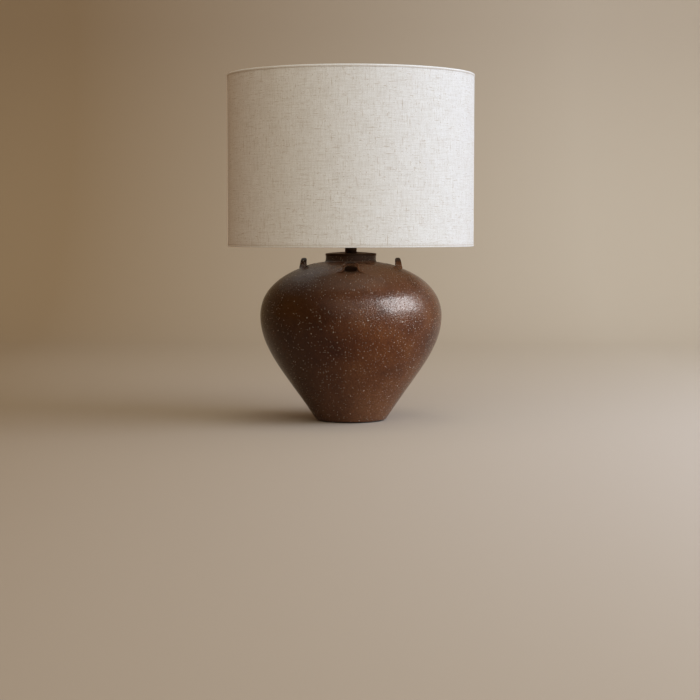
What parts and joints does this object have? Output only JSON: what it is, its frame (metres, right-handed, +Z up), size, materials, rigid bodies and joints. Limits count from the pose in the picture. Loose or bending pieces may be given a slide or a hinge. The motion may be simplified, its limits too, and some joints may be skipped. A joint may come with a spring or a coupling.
{
  "type": "table lamp",
  "caption": "Table lamp with a brown stoneware jar base, four strap lugs on its shoulder and a linen drum shade.",
  "frame": {"origin": "centre of the underside, on the surface that the lamp stands on", "axes": "+Z up along the lamp's axis, -Y towards the front, +X to the right as seen from the front"},
  "size_m": [0.4999, 0.5, 0.7],
  "materials": {
    "stoneware": "dark reddish brown satin glaze with fine pebbling and pale specks",
    "felt": "dark brown pressed felt",
    "rubber": "matte black",
    "zinc_steel": "zinc plated",
    "dark_bronze": "near-black bronze, satin",
    "brass": "satin lacquered brass",
    "insulating_board": "varnished insulating board",
    "black_plastic": "moulded, semi gloss",
    "contact_metal": "bright contact metal",
    "bulb_cap_metal": "plain rolled aluminium",
    "black_glass": "opaque black glass",
    "frosted_glass": "inside frosted, soft white",
    "clear_glass": "clear",
    "filament_wire": "drawn wire",
    "linen": "off-white slubbed linen, laminated",
    "shade_liner": "translucent white styrene sheet",
    "white_enamel": "off-white enamel"
  },
  "bodies": {
    "base": {"felt_pad": "felt", "stoneware_jar": "stoneware", "lug_front": "stoneware", "lug_back": "stoneware", "lug_left": "stoneware", "lug_right": "stoneware", "cord_grommet": "rubber", "bottom_washer": "zinc_steel", "lock_washer": "zinc_steel", "bottom_nut": "zinc_steel", "threaded_rod": "zinc_steel", "centring_bung": "rubber", "vase_cap": "dark_bronze", "neck_tube": "dark_bronze", "tube_washer": "dark_bronze", "harp_saddle": "dark_bronze", "socket_cap": "brass", "socket_shell": "brass", "socket_insulator": "insulating_board", "socket_holder": "black_plastic", "terminal_screws": "contact_metal", "screw_shell": "brass", "centre_contact": "contact_metal"},
    "harp": {"harp": "dark_bronze"},
    "harp_stud": {"harp_stud": "brass"},
    "harp_sleeve_left": {"harp_sleeve_left": "dark_bronze"},
    "harp_sleeve_right": {"harp_sleeve_right": "dark_bronze"},
    "switch": {"switch_shaft": "contact_metal", "switch_knob": "black_plastic"},
    "bulb": {"bulb_tip": "contact_metal", "bulb_tip_insulator": "black_glass", "bulb_cap": "bulb_cap_metal", "bulb_envelope": "frosted_glass", "bulb_stem": "clear_glass", "bulb_filament": "filament_wire"},
    "shade": {"shade_linen": "linen", "shade_liner": "shade_liner", "shade_top_ring": "white_enamel", "shade_bottom_ring": "white_enamel", "shade_top_hem": "linen", "shade_bottom_hem": "linen", "spider_arms": "white_enamel", "spider_hub": "white_enamel"},
    "finial": {"finial": "dark_bronze"}
  },
  "joints": [
    {"name": "harp_lift", "type": "slide", "parent": "base", "child": "harp", "axis": [0, 0, 1], "range_m": [0, 0.02]},
    {"name": "harp_stud_turn", "type": "hinge", "parent": "harp", "child": "harp_stud", "pos_m": [0, 0, 0.675], "axis": [0, 0, 1], "continuous": true},
    {"name": "sleeve_left_slide", "type": "slide", "parent": "harp", "child": "harp_sleeve_left", "axis": [0, 0, 1], "range_m": [0, 0.014]},
    {"name": "sleeve_right_slide", "type": "slide", "parent": "harp", "child": "harp_sleeve_right", "axis": [0, 0, 1], "range_m": [0, 0.014]},
    {"name": "shade_lift", "type": "slide", "parent": "harp_stud", "child": "shade", "axis": [0, 0, 1], "range_m": [0, 0.36]},
    {"name": "finial_lift", "type": "slide", "parent": "shade", "child": "finial", "axis": [0, 0, 1], "range_m": [0, 0.025]},
    {"name": "switch_turn", "type": "hinge", "parent": "base", "child": "switch", "pos_m": [0, -0.031, 0.447], "axis": [0, -1, 0], "continuous": true},
    {"name": "bulb_lift", "type": "slide", "parent": "base", "child": "bulb", "axis": [0, 0, 1], "range_m": [0, 0.028]}
  ]
}
